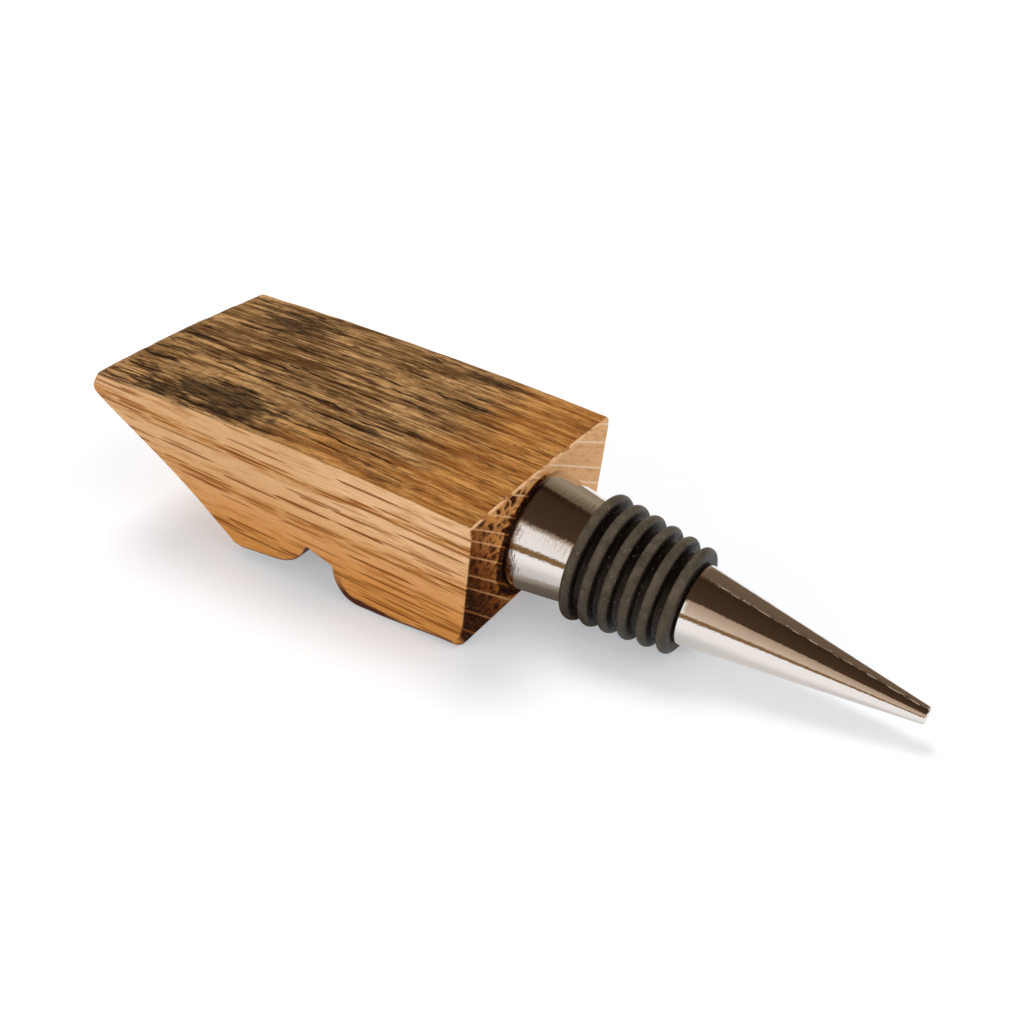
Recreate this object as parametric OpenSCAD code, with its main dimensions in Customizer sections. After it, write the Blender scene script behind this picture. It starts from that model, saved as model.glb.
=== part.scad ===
// Bottle stopper with a barrel-stave handle.
// The stave lies on its underside, and the ribbed plug points along +X, a little nose-down.
// Side views are drawn in X and Z from the point where the plug's axis meets the sawn end.

/* [Stave block] */
// Length from the plug's seat to the front of the chime nose
stave_l = 79.3; // [72:0.1:110]
// Width across the barrel
stave_w = 40; // [30:0.5:60]
// Height of the sawn end, along its face
end_t = 24.7; // [23.5:0.1:32]
// Height of the top face at the chime nose
chime_t = 28.7; // [25:0.1:34]
// Radius of the top face along the stave
bow_r = 900; // [600:10:3000]
// Radius of the top face across the stave
barrel_r = 400; // [250:10:600]

/* [Chime end] */
// Height of the blunt nose
nose_t = 4.8; // [3:0.1:7]
// Distance that the top of the nose stands back from its front
nose_back = 2.9; // [1:0.1:4]
// Radius from the nose into the top face
nose_round = 3; // [0.5:0.1:4]
// Radius from the nose into the chime bevel
nose_ease = 1; // [0.3:0.1:2]
// From the nose to the foot of the chime bevel
bevel_run = 30.8; // [24:0.1:36]
// Depth of the hollow in the chime bevel
bevel_hollow = 1.1; // [0:0.1:2]
// Height of the heel above the table at the chime bevel
heel_lift = 1.9; // [0.5:0.1:3]
// Height of the heel above the table at the croze
heel_rise = 3.1; // [1:0.1:4]
// Radius of the heel's shoulder into the croze
heel_round = 8.5; // [2:0.1:9]

/* [Croze groove] */
// From the nose to the chime side of the groove's roof
croze_setback = 47.3; // [42:0.1:56]
// Width of the groove's roof
croze_w = 5.3; // [4:0.1:9]
// Height of the roof above the table on the sawn side
croze_h = 6.3; // [5:0.1:9]
// Height that the roof gains towards the chime
croze_rise = 1.8; // [0:0.1:3]
// Overhang of the heel's shoulder, from its corner to the roof
heel_run = 2.4; // [1:0.1:5]
// Radius of the sole where it turns up into the groove
sole_round = 4; // [1:0.1:4.5]

/* [Eased edges] */
// Radius on the long edges of the top
edge_ease = 0.8; // [0.3:0.1:2]
// Radius on the long edges of the underside
sole_ease = 1.2; // [0.3:0.1:3]
// Radius at the foot of the sawn end and of the chime bevel
foot_ease = 1.1; // [0.3:0.1:2]
// Radius in the corners of the groove's roof
croze_ease = 0.4; // [0.2:0.1:0.8]

/* [Metal plug] */
// Slope of the plug's axis, nose-down from the table
plug_tilt = 6.9; // [3:0.1:9]
// Length from the sawn end to the tip
plug_l = 64.8; // [55:0.1:80]
// Diameter of the collar at the wood
collar_d = 20.5; // [16:0.1:21]
// Diameter of the collar at the sleeve
collar_end_d = 17.3; // [15:0.1:19]
// Length of the collar
collar_l = 10.2; // [6:0.1:14]
// Diameter of the sleeve's seat beside the collar
seat_d = 14; // [12.5:0.1:15]
// Diameter of the sleeve's seat beside the cone
seat_end_d = 10.6; // [9:0.1:11.5]
// Diameter of the cone at the sleeve
cone_d = 13.4; // [12:0.1:15]
// Diameter of the tip
tip_d = 2.8; // [2:0.1:5]
// Radius on the tip and on the lip of the cone
tip_ease = 0.5; // [0.2:0.1:0.8]
// Radius on the collar's edge at the wood
collar_ease = 0.3; // [0.1:0.1:0.6]

/* [Rubber sleeve] */
// Number of ribs
rib_count = 6; // [4:1:7]
// Distance from rib to rib
rib_pitch = 3.16; // [2.6:0.1:4]
// Thickness of a rib
rib_t = 1.8; // [1.2:0.1:2.2]
// Height of a rib above the valley beside it
rib_h = 2; // [1.2:0.1:2.4]
// Diameter over the rib at the collar
rib_d = 21.4; // [20:0.1:22]
// Diameter over the rib at the cone
rib_end_d = 17.6; // [17:0.1:19]
// Gap between the sleeve's bore and its seat
sleeve_clear = 0.05; // [0.02:0.01:0.2]

/* [Hidden stud] */
// Diameter of the stud that holds plug and stave together
stud_d = 8; // [6:0.5:8.5]
// Length of the stud in the stave
stud_in_stave = 20; // [12:0.5:24]
// Length of the stud in the plug
stud_in_plug = 13; // [8:0.5:15]
// Bevel on the stud's ends
stud_bevel = 1; // [0.5:0.1:1.5]
// Gap around the stud in its two holes
stud_clear = 0.1; // [0.05:0.05:0.2]
// Room past the stud's end in the stave
stud_room = 1; // [0.5:0.1:3]

/* [Resting] */
// Gap between the table and the lowest rib
rest_gap = 0.2; // [0.1:0.05:0.5]

/* [Hidden] */

// Overrun of every cut
over = 1;
// Amount by which an outline stands proud of the face that trims it
trim = 0.1;
// Part of a side that the radius in its corner may take up
ease_room_share = 0.9;
// Steps in the arc of an eased corner
arc_steps = 10;
// Steps along the hollow of the chime bevel
hollow_steps = 12;
// Lean of the hollow towards the foot of the bevel
hollow_lean_share = 0.6;
// Facets round the plug
$fn = 96;
// Facets round the large circles of the top face
barrel_facets = 720;

stave_color = "#b98451";
chrome_color = "#cfc9c4";
rubber_color = "#3a342e";
steel_color = "#8b8d90";

function unit(v) = v / norm(v);
function along(angle) = [cos(angle), sin(angle)];

// Points of the arc that eases the corner b between its neighbours a and c
function corner_arc(a, b, c, r) =
    let (
        u = unit(a - b),
        v = unit(c - b),
        half = acos(u * v) / 2,
        room = min(norm(a - b), norm(c - b)) * ease_room_share,
        fit_r = min(r, room * tan(half)),
        centre = b + unit(u + v) * fit_r / sin(half),
        from = b + u * fit_r / tan(half) - centre,
        to = b + v * fit_r / tan(half) - centre,
        start = atan2(from.y, from.x),
        turn = atan2(from.x * to.y - from.y * to.x, from * to)
    )
    [for (i = [0:arc_steps]) centre + fit_r * along(start + turn * i / arc_steps)];

// Outline whose corners are eased by their own radii, with 0 for a sharp corner
function eased(points, radii) =
    let (n = len(points))
    [
        for (i = [0:n - 1])
            each radii[i] == 0
                ? [points[i]]
                : corner_arc(points[(i + n - 1) % n], points[i], points[(i + 1) % n], radii[i])
    ];

// Places along the plug's axis, from the sawn end
seat_l = (rib_count - 1) * rib_pitch + rib_t;
cone_start = collar_l + seat_l;

function rib_at(k) = collar_l + rib_t / 2 + k * rib_pitch;
function rib_r(k) = (rib_d + (rib_end_d - rib_d) * k / (rib_count - 1)) / 2;

// The lowest rib sets how high the axis meets the sawn end
rib_reach = [for (k = [0:rib_count - 1]) rib_at(k) * sin(plug_tilt) + rib_r(k) * cos(plug_tilt)];
plug_height = max(rib_reach) + rest_gap;

// Corners of the stave's side view
face_dir = [sin(plug_tilt), cos(plug_tilt)];
sole_end = [-plug_height * tan(plug_tilt), 0];
top_end = sole_end + end_t * face_dir;
nose_front = [-stave_l, chime_t - nose_t];
nose_top = [nose_back - stave_l, chime_t];
roof_chime = [croze_setback - stave_l, croze_h + croze_rise];
roof_sawn = [roof_chime.x + croze_w, croze_h];
sole_croze = [roof_sawn.x, 0];
heel_croze = [roof_chime.x - heel_run, heel_rise];
heel_chime = [bevel_run - stave_l, heel_lift];

// The chime bevel is hollow from the heel, at 0, to the nose, at 1
bevel = nose_front - heel_chime;
bevel_in = unit([bevel.y, -bevel.x]);
function hollow(u) = 4 * bevel_hollow * u * (1 - u) * (1 + hollow_lean_share * (1 - 2 * u));
function bevel_point(u) = heel_chime + u * bevel + hollow(u) * bevel_in;

// The top face is part of a barrel: an arc along the stave, turned about an axis far below it
top_mid = (nose_top + top_end) / 2;
top_chord = norm(top_end - nose_top);
top_up = unit([nose_top.y - top_end.y, top_end.x - nose_top.x]);
bow_centre = top_mid - top_up * sqrt(bow_r * bow_r - top_chord * top_chord / 4);
stock_top = max(chime_t, top_end.y) + nose_t;
rim_in = bow_r - 2 * stock_top;

module in_frame() {
    translate([frame_x, 0, 0])
        children();
}

module on_plug_axis() {
    in_frame()
        translate([0, 0, plug_height])
            rotate([0, 90 + plug_tilt, 0])
                children();
}

// Side view of the stave, left high behind the nose for the barrel face to trim
hollow_points = [for (i = [1:hollow_steps - 1]) bevel_point(i / hollow_steps)];
nose_arc = corner_arc(hollow_points[hollow_steps - 2], nose_front, nose_top, nose_ease);
nose_crest = [nose_top.x + 2 * nose_round, chime_t + trim];
top_arc = corner_arc(nose_front, nose_top + [0, trim], nose_crest, nose_round);
foot_outline = eased(
    [
        sole_end + stock_top / face_dir.y * face_dir,
        sole_end,
        sole_croze,
        roof_sawn,
        roof_chime,
        heel_croze,
        heel_chime,
        hollow_points[0]
    ],
    [0, foot_ease, sole_round, croze_ease, croze_ease, heel_round, foot_ease, 0]
);

// The origin lies below the middle of the part's length
tip_x = plug_l * cos(plug_tilt) + (tip_d / 2 - tip_ease) * sin(plug_tilt);
nose_x = min([for (point = nose_arc) point.x]);
frame_x = -(nose_x + tip_x) / 2;

module stave_side() {
    nose_end = top_arc[arc_steps];
    polygon(concat(foot_outline, hollow_points, nose_arc, top_arc, [[nose_end.x, stock_top]]));
}

// Cross-section of the barrel's rim, with the curve of the stave's top and its eased edges
module rim_section() {
    flat_w = stave_w / 2 - edge_ease;
    lean = asin(flat_w / barrel_r);
    roof_r = bow_r - barrel_r + barrel_r * cos(lean) + trim;
    side_r = roof_r - edge_ease * tan(lean);
    ridge_r = roof_r + flat_w * tan(lean);
    half_w = stave_w / 2;
    intersection() {
        polygon(eased(
            [[rim_in, -half_w], [side_r, -half_w], [ridge_r, 0], [side_r, half_w], [rim_in, half_w]],
            [0, edge_ease, 0, edge_ease, 0]
        ));
        translate([bow_r - barrel_r, 0])
            circle(r = barrel_r, $fn = barrel_facets);
    }
}

module barrel_rim() {
    translate([bow_centre.x, 0, bow_centre.y])
        rotate([90, 0, 0])
            rotate_extrude($fn = barrel_facets)
                rim_section();
}

// Waste outside the eased lower edges, along a line of the underside from a to b
module edge_waste(a, b) {
    half_w = stave_w / 2;
    arc = corner_arc([half_w, end_t], [half_w, 0], [0, 0], sole_ease);
    waste = concat([[half_w - sole_ease, -over], [half_w + over, -over], [half_w + over, sole_ease]], arc);
    rise = b - a;
    translate([a.x, 0, a.y])
        rotate([0, -atan2(rise.y, rise.x), 0])
            for (side = [0, 1])
                mirror([0, side, 0])
                    translate([-over, 0, 0])
                        rotate([90, 0, 90])
                            linear_extrude(norm(rise) + 2 * over)
                                polygon(waste);
}

module handle() {
    color(stave_color)
        difference() {
            in_frame()
                difference() {
                    intersection() {
                        rotate([90, 0, 0])
                            linear_extrude(stave_w + 2 * over, center = true)
                                stave_side();
                        barrel_rim();
                    }
                    edge_waste(sole_croze, sole_end);
                    edge_waste(heel_chime, heel_croze);
                }
            on_plug_axis()
                translate([0, 0, -stud_in_stave - stud_room])
                    cylinder(d = stud_d + 2 * stud_clear, h = stud_in_stave + stud_room + over);
        }
}

// Half-section of the metal plug: radius, then distance from the sawn end
module plug_section() {
    polygon(eased(
        [
            [0, 0],
            [collar_d / 2, 0],
            [collar_end_d / 2, collar_l],
            [seat_d / 2, collar_l],
            [seat_end_d / 2, cone_start],
            [cone_d / 2, cone_start],
            [tip_d / 2, plug_l],
            [0, plug_l]
        ],
        [0, collar_ease, 0, 0, 0, tip_ease, tip_ease, 0]
    ));
}

module stopper_body() {
    color(chrome_color)
        on_plug_axis()
            difference() {
                rotate_extrude()
                    plug_section();
                translate([0, 0, -over])
                    cylinder(d = stud_d + 2 * stud_clear, h = stud_in_plug + over);
            }
}

// Half-section of the sleeve: a tapered tube that fills the seat, and one round-crowned rib
module sleeve_section() {
    first_valley = rib_d / 2 - rib_h;
    last_valley = rib_end_d / 2 - rib_h;
    polygon([
        [seat_d / 2 + sleeve_clear, collar_l],
        [first_valley, collar_l],
        [last_valley, cone_start],
        [seat_end_d / 2 + sleeve_clear, cone_start]
    ]);
    for (k = [0:rib_count - 1]) {
        crown_r = rib_r(k) - rib_t / 2;
        root_r = rib_r(k) - rib_h - (rib_h - rib_t / 2) / 2;
        translate([root_r, rib_at(k) - rib_t / 2])
            square([crown_r - root_r, rib_t]);
        translate([crown_r, rib_at(k)])
            circle(d = rib_t);
    }
}

module seal_sleeve() {
    color(rubber_color)
        on_plug_axis()
            rotate_extrude()
                sleeve_section();
}

module threaded_stud() {
    half_d = stud_d / 2;
    color(steel_color)
        on_plug_axis()
            rotate_extrude()
                polygon([
                    [0, -stud_in_stave],
                    [half_d - stud_bevel, -stud_in_stave],
                    [half_d, stud_bevel - stud_in_stave],
                    [half_d, stud_in_plug - stud_bevel],
                    [half_d - stud_bevel, stud_in_plug],
                    [0, stud_in_plug]
                ]);
}

handle();
stopper_body();
seal_sleeve();
threaded_stud();
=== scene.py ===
# %% [markdown]
# # A wine bottle stopper with a barrel-stave handle
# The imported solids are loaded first. They are the fixed frame: every piece below is made
# in the same place, in metres, with +X from the wood to the tip of the plug and +Z up.
# Sizes are easier to read in millimetres, so each piece is drawn in millimetres and scaled
# once, when it is finished.

import math

import bmesh
import bpy
from mathutils import Matrix, Vector, noise


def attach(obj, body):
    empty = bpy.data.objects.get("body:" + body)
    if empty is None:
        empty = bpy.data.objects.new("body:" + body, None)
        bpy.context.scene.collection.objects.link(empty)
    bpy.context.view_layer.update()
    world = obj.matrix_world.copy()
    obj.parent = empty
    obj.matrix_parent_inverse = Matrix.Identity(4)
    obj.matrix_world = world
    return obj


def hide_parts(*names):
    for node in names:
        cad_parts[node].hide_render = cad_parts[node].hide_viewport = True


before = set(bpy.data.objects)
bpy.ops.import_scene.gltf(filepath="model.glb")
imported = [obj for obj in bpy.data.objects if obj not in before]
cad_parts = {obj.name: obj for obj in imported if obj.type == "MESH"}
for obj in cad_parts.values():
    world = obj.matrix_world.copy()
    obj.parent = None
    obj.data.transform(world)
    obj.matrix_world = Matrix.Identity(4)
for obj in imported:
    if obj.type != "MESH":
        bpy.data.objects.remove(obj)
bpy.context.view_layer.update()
MM = 0.001

# %% [markdown]
# ## Camera
# The stopper was photographed from the plug's side, looking down by about 33 degrees.
# A camera can be aimed by a constraint or by its angles. The angles are used here, because
# they and the focal length come straight from the lines of the object in the picture.

# %% Camera
CAMERA_PLACE = (0.09176, -0.13673, 0.11996)
CAMERA_PITCH = math.radians(90 - 33.04)
CAMERA_TURN = math.radians(33.21)

camera_data = bpy.data.cameras.new("camera")
camera_data.lens = 42.46
camera_data.sensor_width = 36
camera_data.clip_start = 0.01
camera = bpy.data.objects.new("camera", camera_data)
camera.location = CAMERA_PLACE
camera.rotation_euler = (CAMERA_PITCH, 0, CAMERA_TURN)
bpy.context.scene.collection.objects.link(camera)
bpy.context.scene.camera = camera
bpy.context.scene.view_settings.view_transform = "Standard"
print("camera lens", camera_data.lens, "mm")

# %% [markdown]
# ## Colours, nodes and pieces
# Colours are written as the hex values that a picture editor shows. Blender's shaders work
# with linear light, so one function turns one into the other. A second function adds any
# node with its settings and its links, and a third turns a finished bmesh into a piece.

# %% Helpers
def linear(hex_colour):
    """Linear RGBA of an sRGB colour such as #d9ab7c."""
    parts = [int(hex_colour[i:i + 2], 16) / 255 for i in (1, 3, 5)]
    return [p / 12.92 if p <= 0.04045 else ((p + 0.055) / 1.055) ** 2.4 for p in parts] + [1]


def add(tree, kind, sockets=None, **settings):
    """Adds a node. A socket's value is linked if it is another node's output, and set if not."""
    node = tree.nodes.new(kind)
    for name, value in settings.items():
        setattr(node, name, value)
    for key, value in (sockets or {}).items():
        if isinstance(value, bpy.types.NodeSocket):
            tree.links.new(value, node.inputs[key])
        else:
            node.inputs[key].default_value = value
    return node


def new_material(name):
    """An empty material and its node tree."""
    material = bpy.data.materials.new(name)
    material.use_nodes = True
    material.node_tree.nodes.clear()
    return material, material.node_tree


def finish_piece(bm, name, material):
    """Scales a bmesh from millimetres, makes it a smooth piece and lets it ride on the body."""
    bmesh.ops.scale(bm, vec=(MM, MM, MM), verts=bm.verts)
    mesh = bpy.data.meshes.new(name)
    bm.to_mesh(mesh)
    bm.free()
    # A face of many corners is a flat side and keeps its flat shading
    mesh.polygons.foreach_set("use_smooth", [len(p.vertices) < 20 for p in mesh.polygons])
    mesh.materials.append(material)
    piece = bpy.data.objects.new(name, mesh)
    bpy.context.scene.collection.objects.link(piece)
    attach(piece, "root")
    print(name, len(mesh.polygons), "faces")
    return piece


def smoothstep(low, high, value):
    """0 below low, 1 above high, and a smooth rise between them."""
    t = min(max((value - low) / (high - low), 0), 1)
    return t * t * (3 - 2 * t)


print("the grey #808080 in linear light:", round(linear("#808080")[0], 3))

# %% [markdown]
# ## The stave's side view
# The handle is the sawn-off end of an oak barrel stave. Its side view shows what a cooper
# cut there: the chime bevel under the nose, the heel, and the croze groove that held the
# barrel's head. A lathe or a box would lose that, so the outline is drawn as one face from
# its nine corners, and each corner is rounded by a vertex bevel of its own size.

# %% Corners of the side view
STAVE_W = 40.0
ARC_STEPS = 7
# x, z, the corner's radius, and the spacing of points on the side that leaves it
CORNERS = [
    (5.78, 0.0, 1.8, 1.0),  # foot of the sawn end
    (-19.445, 0.0, 4.8, 0.6),  # sole, at the groove
    (-19.445, 6.3, 0.4, 0.9),  # roof of the groove
    (-24.745, 8.1, 0.4, 0.9),
    (-27.145, 3.1, 8.5, 0.9),  # heel
    (-41.245, 1.9, 5.0, 1.0),  # foot of the chime bevel
    (-72.02, 23.9, 1.5, 0.7),  # nose
    (-69.145, 28.7, 2.8, 0.65),
    (8.75, 24.52, 0.7, 0.25),  # head of the sawn end
]
NOSE_TOP, END_TOP = Vector((-69.145, 0, 28.7)), Vector((8.75, 0, 24.52))
HEEL_FOOT, NOSE_FRONT = Vector((-41.245, 0, 1.9)), Vector((-72.045, 0, 23.9))


def setback(before, corner, after, radius):
    """How far from a corner an arc of this radius touches the two sides."""
    return radius / math.tan((before - corner).angle(after - corner) / 2)


stave = bmesh.new()
places = [Vector((x, -STAVE_W / 2, z)) for x, z, _, _ in CORNERS]
verts = [stave.verts.new(place) for place in places]
stave.faces.new(verts)
for i, (x, z, radius, _) in enumerate(CORNERS):
    after = places[(i + 1) % len(places)]
    bmesh.ops.bevel(
        stave, geom=[verts[i]], offset=setback(places[i - 1], places[i], after, radius),
        offset_type="OFFSET", segments=ARC_STEPS, profile=0.5, affect="VERTICES", material=-1,
    )
for i, (_, _, _, spacing) in enumerate(CORNERS):
    middle = (places[i] + places[(i + 1) % len(places)]) / 2
    side = min(stave.edges, key=lambda e: ((e.verts[0].co + e.verts[1].co) / 2 - middle).length)
    cuts = max(round(side.calc_length() / spacing) - 1, 0)
    bmesh.ops.subdivide_edges(stave, edges=[side], cuts=cuts)
print("points in the side view:", len(stave.verts))

# %% [markdown]
# ## Bow and hollow
# The top is the outside of the barrel, so it is an arc along the stave. The chime bevel was
# cut with a curved adze and is hollow. Both are small moves of the points on those two sides.

# %% Bow of the top and hollow of the bevel
BOW_RISE = 0.845
BEVEL_HOLLOW = 1.1
HOLLOW_LEAN = 0.6


def top_share(x):
    """0 at the nose and 1 at the sawn end."""
    return min(max((x - NOSE_TOP.x) / (END_TOP.x - NOSE_TOP.x), 0), 1)


def top_height(x):
    """Height of the bowed top on the stave's middle line."""
    u = top_share(x)
    return NOSE_TOP.z + (END_TOP.z - NOSE_TOP.z) * u + 4 * BOW_RISE * u * (1 - u)


bevel_line = NOSE_FRONT - HEEL_FOOT
bevel_inward = Vector((bevel_line.z, 0, -bevel_line.x)).normalized()
for vert in stave.verts:
    u = (vert.co - HEEL_FOOT).dot(bevel_line) / bevel_line.length_squared
    off_bevel = (vert.co - HEEL_FOOT).dot(bevel_inward)
    if 0 < u < 1 and abs(off_bevel) < 0.1:
        hollow = 4 * BEVEL_HOLLOW * u * (1 - u) * (1 + HOLLOW_LEAN * (1 - 2 * u))
        vert.co += bevel_inward * hollow
    elif vert.co.z > 20:
        u = top_share(vert.co.x)
        vert.co.z += 4 * BOW_RISE * u * (1 - u)
print("top at mid-length:", round(top_height(-30), 2), "mm")

# %% [markdown]
# ## From outline to block
# The face is extruded across the stave and the new edges are cut into fine rows. The grain
# runs along X, so the rows are much closer than the points along it. Rows are drawn
# together towards the two sides, where the eased edges need them.

# %% Extrude and cut into rows
ROWS = 250
ROW_CROWD = 0.22

grown = bmesh.ops.extrude_face_region(stave, geom=stave.faces[:])["geom"]
far_verts = [v for v in grown if isinstance(v, bmesh.types.BMVert)]
bmesh.ops.translate(stave, verts=far_verts, vec=(0, STAVE_W, 0))
across = [e for e in stave.edges if abs(e.verts[0].co.y - e.verts[1].co.y) > 1]
bmesh.ops.subdivide_edges(stave, edges=across, cuts=ROWS - 1, use_grid_fill=True)
for vert in stave.verts:
    t = vert.co.y * 2 / STAVE_W
    vert.co.y = STAVE_W / 2 * (t * (1 + ROW_CROWD) - ROW_CROWD * t ** 3)
bmesh.ops.recalc_face_normals(stave, faces=stave.faces)
stave.normal_update()
print("block:", len(stave.verts), "points")

# %% [markdown]
# ## Weather on the barrel's outside
# The top spent years as the outside of a barrel. It is furrowed along the grain, cracked,
# and stained grey and black by damp and iron, and it turns golden near the saw cut, where
# it was cleaned. The larger cracks and stains are listed by place, and noise does the rest.
# Everything is cut inwards, so the piece never outgrows the solid it stands for. The same
# numbers are stored on the points, so that the finish can darken exactly what is cut.

# %% Cracks, furrows and stains
# Start and end along x, place across y, half-width and depth
CRACKS = [
    (-69, -57, -0.9, 0.5, 0.3), (-58, -39, -1.9, 0.26, 0.4), (-45, -28, -0.6, 0.28, 0.4),
    (-69, -58, -10.6, 0.55, 0.3), (-69, -57, -14.9, 0.4, 0.3), (-53, -39, -11.3, 0.28, 0.4),
    (-56, -38, -6.7, 0.28, 0.35), (-38, -23, -6.6, 0.26, 0.4), (-16, -4, -5.9, 0.24, 0.35),
    (-23, -14, -4.4, 0.25, 0.3), (-51, -39, 5.1, 0.28, 0.4), (-33, -22, 5.4, 0.28, 0.35),
    (-23, -11, 1.7, 0.28, 0.4), (-31, -18, 13.9, 0.3, 0.4), (-11, 4, 13.9, 0.2, 0.25),
    (-39, -31, 10.4, 0.3, 0.35), (-28, -19, 10.4, 0.3, 0.35), (-19, -3, 7.3, 0.3, 0.35),
    (-69, -59, 2.2, 0.35, 0.35), (-31, -17, -9.7, 0.32, 0.35), (-13, 6, -1.2, 0.2, 0.3),
    (-32, -8, -14.2, 0.28, 0.35), (-53, -28, -18.9, 0.3, 0.35), (-6, 8, 1.6, 0.18, 0.25),
    (-29, -21, 16.9, 0.3, 0.3), (-69, -62, 17.4, 0.4, 0.3), (-60, -48, 9.0, 0.25, 0.3),
    (-48, -36, -4.0, 0.22, 0.3), (-64, -50, -17.2, 0.25, 0.3), (-8, 7, -10.2, 0.2, 0.25),
    (-30, -20, -1.0, 0.25, 0.35), (-27, -12, 3.5, 0.2, 0.3), (-40, -30, -8.9, 0.22, 0.3),
    (-36, -26, 7.7, 0.22, 0.3), (-66, -55, 6.6, 0.22, 0.3), (-62, -47, -4.9, 0.22, 0.3),
    (-20, -8, -11.5, 0.22, 0.3), (-26, -10, -16.4, 0.2, 0.3), (-47, -34, 14.6, 0.22, 0.3),
    (-57, -44, 2.4, 0.2, 0.3), (-45, -33, 2.9, 0.2, 0.3), (-24, -14, -7.6, 0.22, 0.3),
    (-14, -6, 10.3, 0.3, 0.3), (-5, 7, -5.3, 0.18, 0.25), (-36, -22, 12.1, 0.2, 0.3),
]
# Place along x and y, half-length, half-width and strength
STAINS = [
    (-52, 13.5, 11, 6, 0.8), (-43, -15.3, 14, 4.8, 1.2), (-55, -18.6, 9, 2.4, 1.0),
    (-61, 15.5, 6, 2.5, 0.5), (-10, 7.2, 4.5, 1.3, 0.95), (-12, 16.8, 8, 2, 0.65),
    (-20, -9.3, 5, 1.1, 0.9), (-63, -10.6, 5, 1.2, 0.8), (-63, -1, 6, 1.1, 0.7),
    (-24, 10, 6, 1.2, 0.55), (-10, -17.6, 7, 1.6, 0.5), (-31, 7, 6, 1.4, 0.5),
    (-33, -13.5, 8, 1.6, 0.6), (-11, 10.6, 6, 0.8, 0.6), (-46, 5.5, 8, 1.2, 0.5),
]
CRACK_WANDER = 0.45
CRACK_SPREAD = 1.3
FURROW_DEPTH = 0.13
FIBRE_DEPTH = 0.05


def crack_depth(x, y):
    """Depth of the deepest listed crack at a place on the top."""
    deepest = 0
    for start, end, middle, half_w, depth in CRACKS:
        if not (start < x < end and abs(y - middle) < 1.5):
            continue
        wander = CRACK_WANDER * noise.noise((x / 4.5, middle * 3, 0))
        taper = min(1, (x - start) / 3, (end - x) / 3)
        ragged = 0.75 + 0.5 * noise.noise((x / 2.5, y / 0.4, middle))
        across_share = abs(y - middle - wander) / (CRACK_SPREAD * half_w * taper * ragged + 0.02)
        deepest = max(deepest, depth * taper * (1 - across_share * across_share))
    return deepest


def stain_strength(x, y):
    """Grey stain at a place on the top, with a ragged edge."""
    ragged = 0.55 * noise.noise((x / 5, y / 1.1, 7)) + 0.35 * noise.noise((x / 1.3, y / 0.5, 2))
    strongest = 0
    for sx, sy, half_l, half_w, strength in STAINS:
        reach = math.hypot((x - sx) / half_l, (y - sy) / half_w)
        strongest = max(strongest, strength * smoothstep(1.25, 0.2, reach + ragged * 0.7))
    return strongest


def furrow_depth(x, y):
    """Furrows between the harder bands of the grain, and the torn fibres on them."""
    wave = y + 0.5 * noise.noise((x / 16, y / 5, 1))
    furrow = 0.5 + 0.5 * noise.noise((x / 13, wave / 0.75, 4))
    fibre = 0.5 + 0.5 * noise.noise((x / 1.6, y / 0.32, 9))
    return FURROW_DEPTH * furrow * furrow + FIBRE_DEPTH * fibre


print("listed:", len(CRACKS), "cracks and", len(STAINS), "stains")

# %% [markdown]
# ## Torn and cleaned places
# The saw tore the end grain on the front side of its cut, where it left hollow cells between
# thin walls. A Voronoi pattern gives them: the gap between a place's two nearest points is
# small on a wall and large in a cell. The cells lie along the rays, which point to the
# middle of the log. A dark ring of painted shade goes on the wood round the collar, where
# the collar shades it.

# %% Cleaned skin, torn cells and the painted shade round the collar
PIT_LENGTH, PIT_WIDTH = 2.9, 2.3
COLLAR_R = 10.25
COLLAR_Z = 12.2
# The log's middle, as y and z: the rays on the sawn end point there
PITH = Vector((0, -99.75, 80))
RAY_RADIUS = 115.0


def gold_share(x, y):
    """How far the weathered skin was cleaned, near the saw cut and along the front edge."""
    by_saw = smoothstep(-14, 0, x + 4 * noise.noise((x / 7, y / 3, 3)))
    near_edge = smoothstep(-11, -15, y + 1.5 * noise.noise((x / 9, y / 2, 8)))
    return max(by_saw, 0.8 * near_edge * smoothstep(-40, -20, x))


def pit_share(y, z):
    """0 on a wall of the torn end grain and 1 deep in a cell. It fades towards the far side."""
    off_pith = Vector((0, y, z)) - PITH
    ring, ray = off_pith.length, math.atan2(off_pith.z, off_pith.y) * RAY_RADIUS
    bend = noise.noise((y / 1.6, z / 1.6, 21)) * 0.5
    gaps, _ = noise.voronoi((ring / PIT_LENGTH + bend, ray / PIT_WIDTH + bend, 3))
    torn = 0.5 + 0.5 * noise.noise((ring / 1.7, ray / 1.1, 6))
    in_cell = smoothstep(0.05, 0.28, gaps[1] - gaps[0])
    return in_cell * (0.35 + 0.65 * smoothstep(0.3, 0.6, torn)) * smoothstep(3, -9, y)


def collar_shade(y, z):
    """Painted shade: the dark ring on the wood round the collar, on its front side, where the collar
    shades it.
    """
    off_collar = math.hypot(y, z - COLLAR_Z) - COLLAR_R
    soft_ring = 0.5 * smoothstep(1.9, 0.3, off_collar)
    dark_ring = 1.2 * smoothstep(1.0, 0.2, off_collar)
    return max(soft_ring, dark_ring) * smoothstep(3, -4, y)


print("cells of about", PIT_LENGTH, "by", PIT_WIDTH, "mm")

# %% [markdown]
# ## Cutting the block
# One pass moves every point of the block. The top drops a little towards both sides, as a
# barrel does. All long edges are eased: the rows near a side are drawn in along a quarter
# circle. Then the top gets its weather, the sawn end its torn cells and the underside its
# blisters. The nose was sawn too, and only gets a mark for its end grain.

# %% Crown, eased edges and weather
CROWN_R = 400.0
CROWN_FADE = 4.0
TOP_EASE, HEEL_EASE, FOOT_EASE, SAWN_EASE, CORNER_EASE = 0.8, 0.6, 1.7, 0.22, 0.7
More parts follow.
